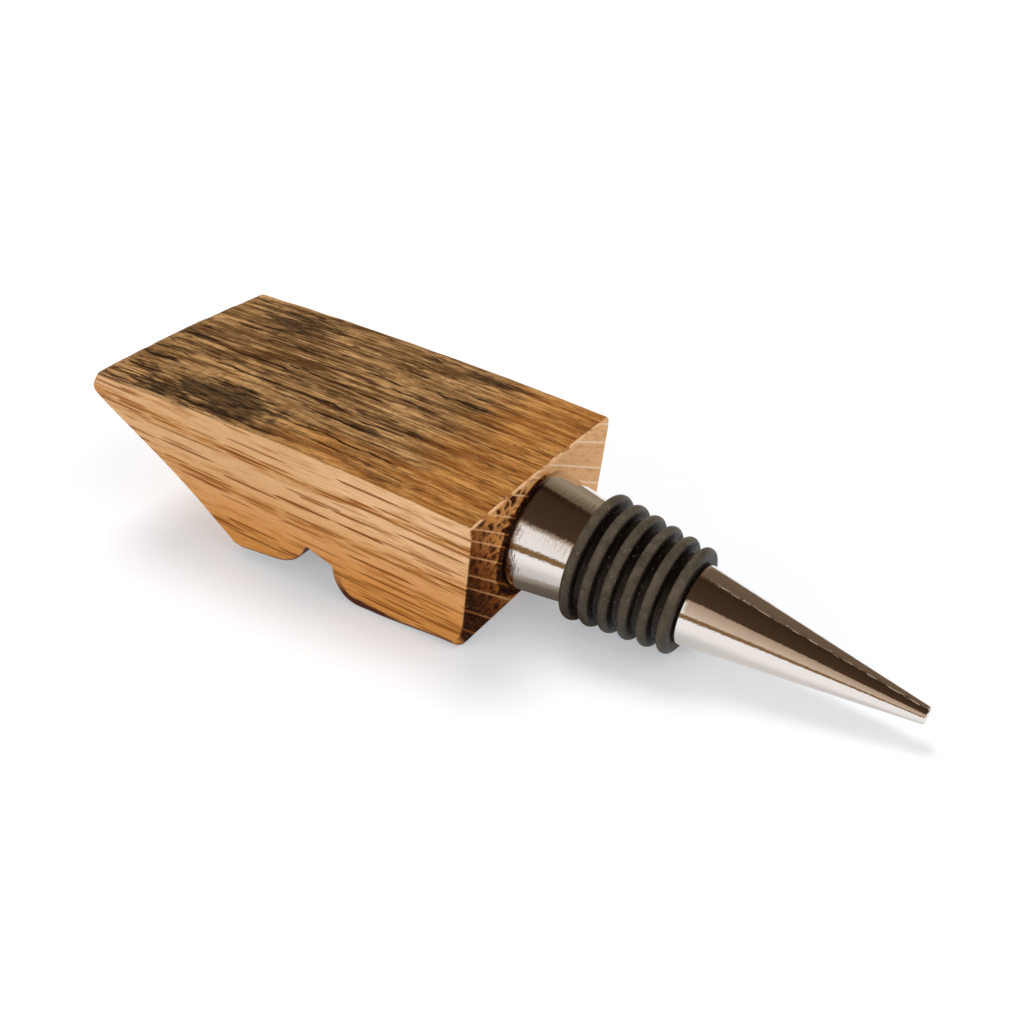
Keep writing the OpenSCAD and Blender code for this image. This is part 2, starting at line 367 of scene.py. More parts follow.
# The ease at a rounded corner as a share of its radius, and how it may grow with distance
EASE_SHARE, EASE_SLOPE = 0.95, 0.6
EASE_VARIES = 0.25
PIT_DEPTH = 0.3
BLISTER_DEPTH = 0.1
NOSE_WEAR = 0.25
# The depth of cut that the finish shows at its darkest
DARK_CUT = 0.45
# The toasted skin ends at this height, and the nose's end grain starts at these x and z
TOAST_TOP = 9
NOSE_GRAIN_X, NOSE_GRAIN_Z = -66, 22


def corner_room(x):
    """Ease that fits beside the corners at the ends of the top, the sole and the heel."""
    ends = (CORNERS[0], CORNERS[5], CORNERS[7], CORNERS[8])
    return min(EASE_SHARE * radius + EASE_SLOPE * abs(x - end) for end, _, radius, _ in ends)


marks = {name: stave.verts.layers.float.new(name)
         for name in ("barrel_face", "cut", "stain_and_collar_shade", "gold", "sawn_end", "toasted")}
for vert in stave.verts:
    x, y, z = vert.co
    normal = Vector((vert.normal.x, 0, vert.normal.z)).normalized()
    up, down, ahead = normal.z, -normal.z, normal.x
    is_top, is_sole = smoothstep(0.75, 0.97, up), smoothstep(0.84, 0.95, down)
    by_corner = max(
        smoothstep(6, 2, z), smoothstep(3, 0.5, END_TOP.z - z), 0.1 * smoothstep(-64, -69, x))
    at_foot = smoothstep(0, 4, x) * smoothstep(4, 1, z)
    sole_ease = HEEL_EASE + (FOOT_EASE - HEEL_EASE) * smoothstep(-12, 4, x)
    ease_r = max(
        SAWN_EASE + (CORNER_EASE - SAWN_EASE) * by_corner,
        TOP_EASE * is_top,
        sole_ease * is_sole * smoothstep(6, 3, z),
        FOOT_EASE * at_foot,
    )
    ease_r *= 1 + EASE_VARIES * is_top * noise.noise((x / 5, y / 20, 5))
    ease_r = min(ease_r, corner_room(x))
    overhang = max(abs(y) - (STAVE_W / 2 - ease_r), 0)
    inward = ease_r - math.sqrt(max(ease_r ** 2 - overhang ** 2, 0))
    from_side = STAVE_W / 2 - abs(y)
    side_fade = smoothstep(0, 0.7, from_side)
    edge_fade = smoothstep(0, 0.12, from_side)
    if is_top > 0:
        gold = gold_share(x, y)
        cut = (furrow_depth(x, y) * (1 - 0.5 * gold) + crack_depth(x, y)) * is_top * side_fade
        inward += cut * smoothstep(END_TOP.x + 0.5, END_TOP.x - 3, x)
        vert[marks["cut"]] = min(cut / DARK_CUT, 1)
        vert[marks["stain_and_collar_shade"]] = stain_strength(x, y) * is_top * edge_fade
        vert[marks["gold"]] = gold * edge_fade
        vert[marks["barrel_face"]] = is_top * smoothstep(0, 0.3, from_side)
    elif x > 0 and (ahead > 0.8 or (ahead > 0.15 and z < 10)):
        cut = pit_share(y, z) * smoothstep(END_TOP.z, END_TOP.z - 1, z) * edge_fade
        inward += PIT_DEPTH * cut * smoothstep(0.8, 0.98, ahead) * smoothstep(0.1, 1.2, from_side)
        vert[marks["cut"]] = cut
        # On the sawn end the stain mark holds the painted shade round the collar
        vert[marks["stain_and_collar_shade"]] = collar_shade(y, z)
        # The finish goes on round the foot, where the skin already turns downwards
        round_foot = smoothstep(0.1, 0.5, ahead) * smoothstep(10, 9, z)
        foot_fade = smoothstep(-0.1, 1.5, from_side + 1.6 - 1.6 * at_foot)
        end_share = smoothstep(0.8, 0.98, max(ahead, round_foot))
        vert[marks["sawn_end"]] = end_share * min(edge_fade, foot_fade)
    elif x < NOSE_GRAIN_X and ahead < -0.4 and z > NOSE_GRAIN_Z:
        end_share = smoothstep(-0.75, -0.9, ahead + down)
        vert[marks["sawn_end"]] = end_share * smoothstep(0, 0.3, from_side)
    elif z < TOAST_TOP and (is_sole > 0 or -30 < x < 0):
        vert[marks["toasted"]] = edge_fade
        blisters = 0.5 + 0.5 * noise.noise((x / 2.5, y / 1.5, 11))
        inward += BLISTER_DEPTH * is_sole * blisters
    worn = 0.5 + 0.5 * noise.noise((y / 3.2, z / 5, 13))
    inward += NOSE_WEAR * worn * worn * smoothstep(-65, -69, x) * smoothstep(22, 26, z) * side_fade
    vert.co -= normal * inward
    drop = y * y / (2 * CROWN_R)
    vert.co.z -= drop * smoothstep(CROWN_FADE, 0, top_height(x) - z) if z > 15 else 0
print("lowest point:", round(min(v.co.z for v in stave.verts), 3), "mm")

# %% [markdown]
# ## Oak: the grain
# White oak is ring-porous: each year starts with a band of wide pores, which show as dark
# dashes along the grain on a sanded side and as pits on a sawn end, and pale rays cross the
# rings. One block has one grain, so a single material works out the grain first and then
# tints four zones: sanded sides, weathered barrel face, sawn ends and toasted underside.
# Noise that is stretched along the grain draws most of it.

# %% Oak: grain and noises
oak, tree = new_material("white_oak_stave")
where = add(tree, "ShaderNodeTexCoord").outputs["Object"]
# Millimetres along the grain, which falls by 3 degrees towards the sawn end
grain = add(tree, "ShaderNodeMapping", {
    "Vector": where, "Rotation": (0, math.radians(-3), 0), "Scale": (1000, 1000, 1000),
}).outputs[0]
# Waves per millimetre along and across the grain, detail and roughness
NOISES = {
    "wobble": (0.02, 0.1, 2.0, 0.5),
    "clouds": (0.05, 0.2, 3.0, 0.5),
    "fibres": (0.2, 4.5, 3.0, 0.65),
    "streaks": (0.065, 0.8, 6.0, 0.66),
    "flecks": (0.3, 2.3, 5.0, 0.72),
    "checks": (0.045, 0.75, 2.0, 0.5),
    "ticks": (0.9, 0.35, 3.0, 0.6),
    "speckle": (1.2, 1.6, 5.0, 0.7),
}
noises = {}
for name, (along, across, detail, roughness) in NOISES.items():
    stretched = add(tree, "ShaderNodeMapping", {
        "Vector": grain, "Scale": (along, across, across)}).outputs[0]
    noises[name] = add(tree, "ShaderNodeTexNoise", {
        "Vector": stretched, "Scale": 1.0, "Detail": detail, "Roughness": roughness,
    }).outputs["Fac"]
print("oak noises:", ", ".join(noises))

# %% [markdown]
# ### Rings and pores
# The distance from the log's middle, counted in rings, tells where the porous bands are. A
# pore is drawn as one thin ellipse in each cell of a Voronoi pattern: the pattern gives the
# place of each cell's centre, and the cell's random colour decides whether it has a pore and
# how dark it is. That keeps the dashes thin, which plain noise would not.

# %% Oak: rings and pores
RING_W = 4.95
from_pith = add(tree, "ShaderNodeMapping", {
    "Vector": grain, "Location": -PITH / RING_W, "Scale": (0, 1 / RING_W, 1 / RING_W),
}).outputs[0]
rings = add(tree, "ShaderNodeVectorMath", {0: from_pith}, operation="LENGTH").outputs["Value"]
rings = add(tree, "ShaderNodeMath", {
    0: noises["wobble"], 1: 0.6, 2: rings}, operation="MULTIPLY_ADD").outputs[0]
phase = add(tree, "ShaderNodeMath", {0: rings, 1: 0.5}, operation="PINGPONG").outputs[0]
porous = add(tree, "ShaderNodeMapRange", {
    "Value": phase, "From Min": 0.28, "From Max": 0.48,
}, interpolation_type="SMOOTHSTEP").outputs[0]

# Length and height in mm of the cell that holds one pore, the pore's half-length and
# half-width in cells, and the share of cells with a pore in clear wood and in a porous band
PORES = {
    "long": (14, 1.7, 0.52, 0.15, 0.5, 0.9),
    "short": (8, 0.7, 0.52, 0.3, 0.1, 0.9),
}
pores = {}
for name, (cell_l, cell_h, half_l, half_w, clear, crowded) in PORES.items():
    place = add(tree, "ShaderNodeMapping", {
        "Vector": grain, "Rotation": (math.radians(-80), 0, 0), "Scale": (1 / cell_l, 1, 1 / cell_h),
    }).outputs[0]
    cell = add(tree, "ShaderNodeTexVoronoi", {
        "Vector": place, "Scale": 1.0}, voronoi_dimensions="2D").outputs
    offset = add(tree, "ShaderNodeVectorMath", {
        0: place, 1: cell["Position"]}, operation="SUBTRACT").outputs[0]
    offset = add(tree, "ShaderNodeVectorMath", {
        0: offset, 1: (1 / half_l, 1 / half_w, 0)}, operation="MULTIPLY").outputs[0]
    reach = add(tree, "ShaderNodeVectorMath", {0: offset}, operation="LENGTH").outputs["Value"]
    reach = add(tree, "ShaderNodeMath", {
        0: noises["fibres"], 1: 0.9, 2: reach}, operation="MULTIPLY_ADD").outputs[0]
    chosen = add(tree, "ShaderNodeSeparateColor", {0: cell["Color"]}).outputs
    chance = add(tree, "ShaderNodeMath", {
        0: porous, 1: crowded - clear, 2: clear}, operation="MULTIPLY_ADD").outputs[0]
    present = add(tree, "ShaderNodeMath", {
        0: chosen["Red"], 1: chance}, operation="LESS_THAN").outputs[0]
    darkness = add(tree, "ShaderNodeMapRange", {
        "Value": chosen["Green"], "To Min": 0.5, "To Max": 1.0}).outputs[0]
    dash = add(tree, "ShaderNodeMapRange", {
        "Value": reach, "From Min": 1.5, "From Max": 1.22, "To Max": darkness,
    }, interpolation_type="SMOOTHSTEP").outputs[0]
    pores[name] = add(tree, "ShaderNodeMath", {0: dash, 1: present}, operation="MULTIPLY").outputs[0]
print("one ring is", RING_W, "mm")

# %% [markdown]
# ### Sanded sides
# Fresh sanded oak is pale tan, more orange in the porous bands and low on the stave, where
# the heat of the toasting reached. Along the foot of the sides the toasted skin of the
# underside shows as a dark red-brown rim, which the sanding took off near the saw cut.

# %% Oak: sanded sides
split = add(tree, "ShaderNodeSeparateXYZ", {0: where}).outputs
low_down = add(tree, "ShaderNodeMapRange", {
    "Value": split["Z"], "From Min": 0.021, "From Max": 0.004,
}, interpolation_type="SMOOTHSTEP").outputs[0]
band = add(tree, "ShaderNodeMapRange", {
    "Value": noises["fibres"], "From Min": 0.36, "From Max": 0.56, "To Max": porous}).outputs[0]
fibre_tint = add(tree, "ShaderNodeMapRange", {
    "Value": noises["fibres"], "From Min": 0.45, "From Max": 0.68, "To Max": 0.5}).outputs[0]
pale_fibre = add(tree, "ShaderNodeMapRange", {
    "Value": noises["fibres"], "From Min": 0.45, "From Max": 0.28, "To Max": 0.35}).outputs[0]
# Depth of a place inside the rounded corner of the sole beside the groove
SOLE_X, _, SOLE_R, _ = CORNERS[1]
from_arc = add(tree, "ShaderNodeMapping", {
    "Vector": where, "Location": (SOLE_X + SOLE_R, 0, SOLE_R), "Scale": (-1000, 0, -1000),
}).outputs[0]
from_arc = add(tree, "ShaderNodeVectorMath", {
    0: from_arc, 1: (0, 0, 0)}, operation="MAXIMUM").outputs[0]
from_arc = add(tree, "ShaderNodeVectorMath", {0: from_arc}, operation="LENGTH").outputs["Value"]
# The skin is 1.7 mm thick, and the sanding left 0.3 mm of it near the saw cut
skin = add(tree, "ShaderNodeMapRange", {
    "Value": split["X"], "From Min": -0.014, "From Max": 0.003,
    "To Min": SOLE_R - 1.7, "To Max": SOLE_R - 0.3,
}).outputs[0]
into_skin = add(tree, "ShaderNodeMath", {0: from_arc, 1: skin}, operation="SUBTRACT").outputs[0]
into_skin = add(tree, "ShaderNodeMath", {
    0: noises["flecks"], 1: -1.2, 2: into_skin}, operation="MULTIPLY_ADD").outputs[0]
past_groove = add(tree, "ShaderNodeMapRange", {
    "Value": split["X"], "From Min": -0.0205, "From Max": -0.0195}).outputs[0]
low_skin = add(tree, "ShaderNodeMapRange", {
    "Value": split["Z"], "From Min": 0.0055, "From Max": 0.002, "To Max": past_groove}).outputs[0]
burnt = add(tree, "ShaderNodeMapRange", {
    "Value": into_skin, "From Min": -0.9, "From Max": -0.3, "To Max": low_skin,
}, interpolation_type="SMOOTHSTEP").outputs[0]
streak_level = add(tree, "ShaderNodeMath", {
    0: noises["fibres"], 1: 0.35, 2: noises["streaks"]}, operation="MULTIPLY_ADD").outputs[0]
streak_strength = add(tree, "ShaderNodeMapRange", {
    "Value": low_down, "To Min": 0.65, "To Max": 1.0}).outputs[0]
warm_streak = add(tree, "ShaderNodeMapRange", {
    "Value": streak_level, "From Min": 0.69, "From Max": 0.84, "To Max": streak_strength}).outputs[0]
nose_tone = add(tree, "ShaderNodeMapRange", {
    "Value": split["X"], "From Min": -0.008, "From Max": -0.03, "To Max": 0.42}).outputs[0]
sanded = linear("#f6c796")
for share, coat in (
    (nose_tone, "#d09a5c"), (low_down, "#da9143"), (pale_fibre, "#f9d5ab"),
    (band, "#cb8c48"), (fibre_tint, "#cf9353"), (warm_streak, "#b8722c"),
    (pores["short"], "#a05e18"), (pores["long"], "#8a480e"), (burnt, "#4a1c08"),
):
    sanded = add(tree, "ShaderNodeMix", {
        0: share, 6: sanded, 7: linear(coat)}, data_type="RGBA").outputs[2]
print("sanded oak: pale tan with brown pores")

# %% [markdown]
# ### Weathered barrel face
# Weathered oak is greyer and browner than fresh oak, streaked along the grain, nearly black
# in its cracks and where iron and damp stained it, and golden where it was cleaned. Thin
# drying checks follow the lines where a stretched noise crosses its middle value.

# %% Oak: weathered barrel face
mark = {}
for name in marks:
    mark[name] = add(tree, "ShaderNodeAttribute", attribute_name=name).outputs["Fac"]
streak_tint = add(tree, "ShaderNodeMapRange", {
    "Value": noises["streaks"], "From Min": 0.41, "From Max": 0.59}).outputs[0]
fleck_tint = add(tree, "ShaderNodeMapRange", {
    "Value": noises["flecks"], "From Min": 0.48, "From Max": 0.62, "To Max": 0.75}).outputs[0]
pale_tint = add(tree, "ShaderNodeMapRange", {
    "Value": noises["flecks"], "From Min": 0.42, "From Max": 0.3, "To Max": 0.6}).outputs[0]
grey_tint = add(tree, "ShaderNodeMapRange", {
    "Value": noises["clouds"], "From Min": 0.45, "From Max": 0.7, "To Max": 0.6}).outputs[0]
tick_tint = add(tree, "ShaderNodeMapRange", {
    "Value": noises["ticks"], "From Min": 0.55, "From Max": 0.72, "To Max": 0.55}).outputs[0]
unclean = add(tree, "ShaderNodeMapRange", {
    "Value": mark["gold"], "To Min": 0.85, "To Max": 0.35}).outputs[0]
from_line = add(tree, "ShaderNodeMath", {0: noises["checks"], 1: 0.5}, operation="SUBTRACT").outputs[0]
from_line = add(tree, "ShaderNodeMath", {0: from_line}, operation="ABSOLUTE").outputs[0]
from_line = add(tree, "ShaderNodeMath", {
    0: noises["flecks"], 1: 0.08, 2: from_line}, operation="MULTIPLY_ADD").outputs[0]
check_tint = add(tree, "ShaderNodeMapRange", {
    "Value": from_line, "From Min": 0.075, "From Max": 0.048, "To Max": unclean,
}, interpolation_type="SMOOTHSTEP").outputs[0]
stain_level = add(tree, "ShaderNodeMath", {
    0: noises["flecks"], 1: 1.4, 2: mark["stain_and_collar_shade"]}, operation="MULTIPLY_ADD").outputs[0]
stain_level = add(tree, "ShaderNodeMath", {
    0: noises["streaks"], 1: -1.6, 2: stain_level}, operation="MULTIPLY_ADD").outputs[0]
stain_tint = add(tree, "ShaderNodeMapRange", {
    "Value": stain_level, "From Min": 0.1, "From Max": 0.75, "To Max": 0.95}).outputs[0]
cut_level = add(tree, "ShaderNodeMath", {
    0: noises["flecks"], 1: 0.5, 2: mark["cut"]}, operation="MULTIPLY_ADD").outputs[0]
cut_tint = add(tree, "ShaderNodeMapRange", {
    "Value": cut_level, "From Min": 0.45, "From Max": 0.95, "To Max": 0.92,
}, interpolation_type="SMOOTHSTEP").outputs[0]
golden = add(tree, "ShaderNodeMix", {
    0: streak_tint, 6: linear("#9a5b22"), 7: linear("#d2944f")}, data_type="RGBA").outputs[2]
bare_fibre = add(tree, "ShaderNodeMapRange", {
    "Value": noises["flecks"], "From Min": 0.6, "From Max": 0.36}).outputs[0]
stained = add(tree, "ShaderNodeMix", {
    0: bare_fibre, 6: linear("#1f130a"), 7: linear("#6d5030")}, data_type="RGBA").outputs[2]
weathered = linear("#5c3a19")
for share, coat in (
    (streak_tint, linear("#d2a269")), (grey_tint, linear("#8a663c")), (tick_tint, linear("#6a4522")),
    (mark["gold"], golden), (fleck_tint, linear("#6c4521")), (pale_tint, linear("#d0a872")),
    (check_tint, linear("#3a2210")), (stain_tint, stained), (cut_tint, linear("#2c1a0c")),
):
    weathered = add(tree, "ShaderNodeMix", {
        0: share, 6: weathered, 7: coat}, data_type="RGBA").outputs[2]
print("weathered oak: grey brown with black cracks and a golden end")

# %% [markdown]
# ### Sawn ends
# End grain shows pale rays that fan out from the log's middle, torn fibres along them, and
# dark cells between pale walls where the saw tore it. The angle round the log's middle gives
# the rays. The wood is darkest low down on the front side, partly where the toasting went
# deepest and partly as painted shade from the collar and sleeve, and it gets a ring of painted
# shade round the collar. One number, the char and shade level, adds this up and picks the tone.

# %% Oak: sawn ends
RAY_SPACING = 3.0
# Length and width in mm of the torn fibres on the sawn end
TORN_L, TORN_W = 3.0, 0.6
off_pith = {}
for axis, middle in (("Y", PITH.y), ("Z", PITH.z)):
    off_pith[axis] = add(tree, "ShaderNodeMath", {
        0: split[axis], 1: 1000, 2: -middle}, operation="MULTIPLY_ADD").outputs[0]
angle = add(tree, "ShaderNodeMath", {
    0: off_pith["Z"], 1: off_pith["Y"]}, operation="ARCTAN2").outputs[0]
fan = add(tree, "ShaderNodeMath", {
    0: angle, 1: RAY_RADIUS / RAY_SPACING}, operation="MULTIPLY").outputs[0]
fan = add(tree, "ShaderNodeMath", {
    0: noises["speckle"], 1: 0.1, 2: fan}, operation="MULTIPLY_ADD").outputs[0]
ray_edge = add(tree, "ShaderNodeTexVoronoi", {"W": fan, "Scale": 1.0},
               voronoi_dimensions="1D", feature="DISTANCE_TO_EDGE").outputs["Distance"]
rays = add(tree, "ShaderNodeMapRange", {
    "Value": ray_edge, "From Min": 0.075, "From Max": 0.025, "To Max": 0.9,
}, interpolation_type="SMOOTHSTEP").outputs[0]
# Char and painted shade at the block's origin, and what each metre, the speckle and the
# painted shade round the collar add to it. Lower down and towards the front the wood darkens,
# partly as toasting and partly as painted shade from the collar and sleeve
char_and_shade = 0.05
for share, weight in (
    (split["Y"], -60), (split["Z"], -30), (noises["speckle"], 0.5), (mark["stain_and_collar_shade"], 2.6),
):
    char_and_shade = add(tree, "ShaderNodeMath", {
        0: share, 1: weight, 2: char_and_shade}, operation="MULTIPLY_ADD").outputs[0]
# Lightest tone, then each darker tone with the char and shade level that starts and completes it
END_TONES = {
    "wood": ("#f0bb85", (
        ("#de9a56", -0.45, 0.35), ("#a35b26", 0.42, 0.82), ("#1c0c05", 0.64, 1.08))),
    "rays": ("#ffdcb8", (("#eab27a", -0.45, 0.35), ("#8c5222", 0.55, 1.15))),
}
end_tone = {}
for name, (lightest, darker) in END_TONES.items():
    end_tone[name] = linear(lightest)
    for colour, start, full in darker:
        share = add(tree, "ShaderNodeMapRange", {
            "Value": char_and_shade, "From Min": start, "From Max": full}).outputs[0]
        end_tone[name] = add(tree, "ShaderNodeMix", {
            0: share, 6: end_tone[name], 7: linear(colour)}, data_type="RGBA").outputs[2]
along_ray = add(tree, "ShaderNodeMath", {
    0: rings, 1: RING_W / TORN_L}, operation="MULTIPLY").outputs[0]
across_ray = add(tree, "ShaderNodeMath", {
    0: fan, 1: RAY_SPACING / TORN_W}, operation="MULTIPLY").outputs[0]
torn = add(tree, "ShaderNodeTexNoise", {
    "Vector": add(tree, "ShaderNodeCombineXYZ", {0: along_ray, 1: across_ray}).outputs[0],
    "Scale": 1.0, "Detail": 4.0, "Roughness": 0.65}).outputs["Fac"]
torn_tint = add(tree, "ShaderNodeMapRange", {
    "Value": torn, "From Min": 0.48, "From Max": 0.66, "To Max": 0.35}).outputs[0]
sawn = end_tone["wood"]
for share, coat in (
    (torn_tint, linear("#a4632c")), (mark["cut"], linear("#3f1a07")), (rays, end_tone["rays"]),
):
    sawn = add(tree, "ShaderNodeMix", {
        0: share, 6: sawn, 7: coat}, data_type="RGBA").outputs[2]
print("rays about", RAY_SPACING, "mm apart")

# %% [markdown]
# ### Toasted underside, and the four zones together
# The inside of a wine barrel is toasted over a fire, which leaves a dark red-brown skin that
# fades within a millimetre or two. The zones meet softly. Weathered wood and end grain are
# rougher than the sanded sides, and pores and drying checks are sunk by a bump. The weathered
# skin also wraps a little over the top's edges, the more the nearer it is to the nose.

# %% Oak: toasted underside and surface
blister = add(tree, "ShaderNodeMath", {
    0: noises["streaks"], 1: 0.8, 2: noises["clouds"]}, operation="MULTIPLY_ADD").outputs[0]
blister = add(tree, "ShaderNodeMapRange", {
    "Value": blister, "From Min": 0.7, "From Max": 1.1}).outputs[0]
toasted = add(tree, "ShaderNodeMix", {
    0: blister, 6: linear("#3d1c0d"), 7: linear("#6f3a18")}, data_type="RGBA").outputs[2]
# The weathered skin ends raggedly where the sides were sanded
weather_edge = add(tree, "ShaderNodeMath", {
    0: noises["streaks"], 1: 1.0, 2: mark["barrel_face"]}, operation="MULTIPLY_ADD").outputs[0]
weather_edge = add(tree, "ShaderNodeMapRange", {
    "Value": weather_edge, "From Min": 0.75, "From Max": 1.05}).outputs[0]
along_top = add(tree, "ShaderNodeMapRange", {
    "Value": split["X"], "From Min": NOSE_TOP.x * MM, "From Max": END_TOP.x * MM}).outputs[0]
# Height of the top's edge, from the same bow and crown as the block's
EDGE_DROP = STAVE_W ** 2 / 8 / CROWN_R
bow_slope = END_TOP.z - NOSE_TOP.z + 4 * BOW_RISE
edge_z = add(tree, "ShaderNodeMath", {
    0: along_top, 1: -4 * BOW_RISE, 2: bow_slope}, operation="MULTIPLY_ADD").outputs[0]
edge_z = add(tree, "ShaderNodeMath", {
    0: along_top, 1: edge_z, 2: NOSE_TOP.z - EDGE_DROP}, operation="MULTIPLY_ADD").outputs[0]
under_edge = add(tree, "ShaderNodeMath", {
    0: split["Z"], 1: -1000, 2: edge_z}, operation="MULTIPLY_ADD").outputs[0]
under_edge = add(tree, "ShaderNodeMath", {
    0: noises["streaks"], 1: -3.0, 2: under_edge}, operation="MULTIPLY_ADD").outputs[0]
wrap = add(tree, "ShaderNodeMapRange", {"Value": along_top, "To Min": -0.2, "To Max": -1.8}).outputs[0]
wrapped = add(tree, "ShaderNodeMath", {0: wrap, 1: under_edge}, operation="SUBTRACT").outputs[0]
to_side = add(tree, "ShaderNodeMath", {0: split["Y"]}, operation="ABSOLUTE").outputs[0]
to_side = add(tree, "ShaderNodeMapRange", {
    "Value": to_side, "From Min": 0.0185, "From Max": 0.0193}).outputs[0]
wrapped = add(tree, "ShaderNodeMapRange", {
    "Value": wrapped, "From Min": -0.3, "From Max": 0.2, "To Max": to_side}).outputs[0]
weather_edge = add(tree, "ShaderNodeMath", {0: weather_edge, 1: wrapped}, operation="MAXIMUM").outputs[0]
surface = sanded
for share, finish in ((mark["toasted"], toasted), (mark["sawn_end"], sawn), (weather_edge, weathered)):
    surface = add(tree, "ShaderNodeMix", {
        0: share, 6: surface, 7: finish}, data_type="RGBA").outputs[2]
rough = add(tree, "ShaderNodeMapRange", {
    "Value": mark["barrel_face"], "To Min": 0.5, "To Max": 0.68}).outputs[0]
rough = add(tree, "ShaderNodeMath", {
    0: mark["sawn_end"], 1: 0.45, 2: rough}, operation="MULTIPLY_ADD").outputs[0]
relief = add(tree, "ShaderNodeMath", {
    0: noises["flecks"], 1: mark["barrel_face"]}, operation="MULTIPLY").outputs[0]
for share, weight in ((pores["long"], -0.06), (check_tint, -0.2), (noises["fibres"], 0.12)):
    relief = add(tree, "ShaderNodeMath", {
        0: share, 1: weight, 2: relief}, operation="MULTIPLY_ADD").outputs[0]
bump = add(tree, "ShaderNodeBump", {"Height": relief, "Strength": 0.7, "Distance": 0.0002}).outputs[0]
shader = add(tree, "ShaderNodeBsdfPrincipled", {
    "Base Color": surface, "Roughness": rough, "Specular IOR Level": 0.12, "Normal": bump,
})
add(tree, "ShaderNodeOutputMaterial", {"Surface": shader.outputs[0]})
handle = finish_piece(stave, "stave_handle", oak)
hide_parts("handle")

# %% [markdown]
# ## The plug's axis
# The metal plug, its sleeve and the stud share one axis, which leaves the sawn end square
# to it and points a little downwards. A round piece is drawn as half a section, as distance
# from the axis and distance from the wood, and spun once round.

# %% Spinning half-sections
PLUG_TILT = math.radians(6.9)
PLUG_START = Vector((7.255, 0, 12.168))
on_axis = Matrix.Translation(PLUG_START) @ Matrix.Rotation(math.pi / 2 + PLUG_TILT, 4, "Y")
SPIN_STEPS = 144


def half_section(corners, arc_steps):
    """A flat face from corners given as radius, place along the axis and rounding radius."""
    bm = bmesh.new()
    places = [Vector((r, 0, s)) for r, s, _ in corners]
    verts = [bm.verts.new(p) for p in places]
    bm.faces.new(verts)
    for i, (_, _, radius) in enumerate(corners):
        if radius > 0:
            after = places[(i + 1) % len(places)]
            bmesh.ops.bevel(
                bm, geom=[verts[i]], offset=setback(places[i - 1], places[i], after, radius),
                offset_type="OFFSET", segments=arc_steps, profile=0.5, affect="VERTICES", material=-1,
            )
    return bm


def refine(bm, spacing):
    """Cuts every longer edge of a flat section into steps of about this length."""
    for edge in list(bm.edges):
        cuts = round(edge.calc_length() / spacing) - 1
        if cuts > 0:
            bmesh.ops.subdivide_edges(bm, edges=[edge], cuts=cuts)


def spin_round(bm):
    """Spins the outline of a half-section into a closed skin on the plug's axis."""
    bmesh.ops.delete(bm, geom=bm.faces[:], context="FACES_ONLY")
    on_pole = [e for e in bm.edges if max(v.co.x for v in e.verts) < 1e-6]
    bmesh.ops.delete(bm, geom=on_pole, context="EDGES")
    bmesh.ops.spin(
        bm, geom=bm.verts[:] + bm.edges[:], cent=(0, 0, 0), axis=(0, 0, 1),
        angle=math.tau, steps=SPIN_STEPS, use_merge=True,
    )
    bmesh.ops.remove_doubles(bm, verts=bm.verts, dist=1e-4)
    bmesh.ops.recalc_face_normals(bm, faces=bm.faces)


print("axis at", [round(v, 2) for v in on_axis.col[2][:3]])

# %% [markdown]
# ## The metal plug
# The plug is one zinc casting with a bright chrome plate: a tapered collar against the wood,
# a seat for the rubber, and a long cone with a blunt tip. The long sides are cut finely, so
# that the slight waves of a polished casting can bend the reflections.

# %% Plug
PLUG_SECTION = [
    (0, 13.0, 0), (4.1, 13.0, 0), (4.1, 0, 0), (10.25, 0, 0), (8.65, 10.2, 0.15), (7.0, 10.2, 0),
    (5.3, 27.8, 0), (6.7, 27.8, 0.5), (1.4, 64.8, 0.5), (0, 64.8, 0),
]
CAST_WAVE = 0.012
SHARP_ANGLE = math.radians(50)

plug = half_section(PLUG_SECTION, 5)
refine(plug, 0.6)
spin_round(plug)
plug.normal_update()
for vert in plug.verts:
    x, y, z = vert.co
    wave = noise.noise((x / 5, y / 5, z / 9)) - 1
    vert.co += vert.normal * wave * CAST_WAVE
for edge in plug.edges:
    edge.smooth = edge.calc_face_angle(0) < SHARP_ANGLE
bmesh.ops.transform(plug, matrix=on_axis, verts=plug.verts)
print("plug:", len(plug.faces), "faces")

# %% [markdown]
# ### Chrome plate
# Chrome over a polished casting is a near mirror with a warm grey tint. Fine turning marks
# round the axis and a coarser ripple on the collar break its reflections up a little, and a
# raised parting line glints along the cone. All of them are bumps from noise that is stretched
# along or round the axis. On the front side, where the collar meets the wood, a dark line is
# painted: partly glue and dirt, and partly painted shade of the gap there.

# %% Chrome plate
# Real turning marks are finer than 0.1 mm and would not show, so they are drawn coarser
TURNING_MARK = 0.22
# The casting's parting line, as the angle up from the front
SEAM_ANGLE = math.radians(81)
SEAM_NORMAL = (math.cos(SEAM_ANGLE), -math.sin(SEAM_ANGLE), 0)
chrome, chrome_tree = new_material("chrome_plate_polished")
chrome_where = add(chrome_tree, "ShaderNodeTexCoord").outputs["Object"]
# Turned so that its Z runs along the plug's axis, in millimetres from the wood
to_plug = on_axis.inverted()
on_plug = add(chrome_tree, "ShaderNodeMapping", {
    "Vector": chrome_where, "Location": to_plug.translation, "Rotation": to_plug.to_euler(),
    "Scale": (1000, 1000, 1000),
}).outputs[0]
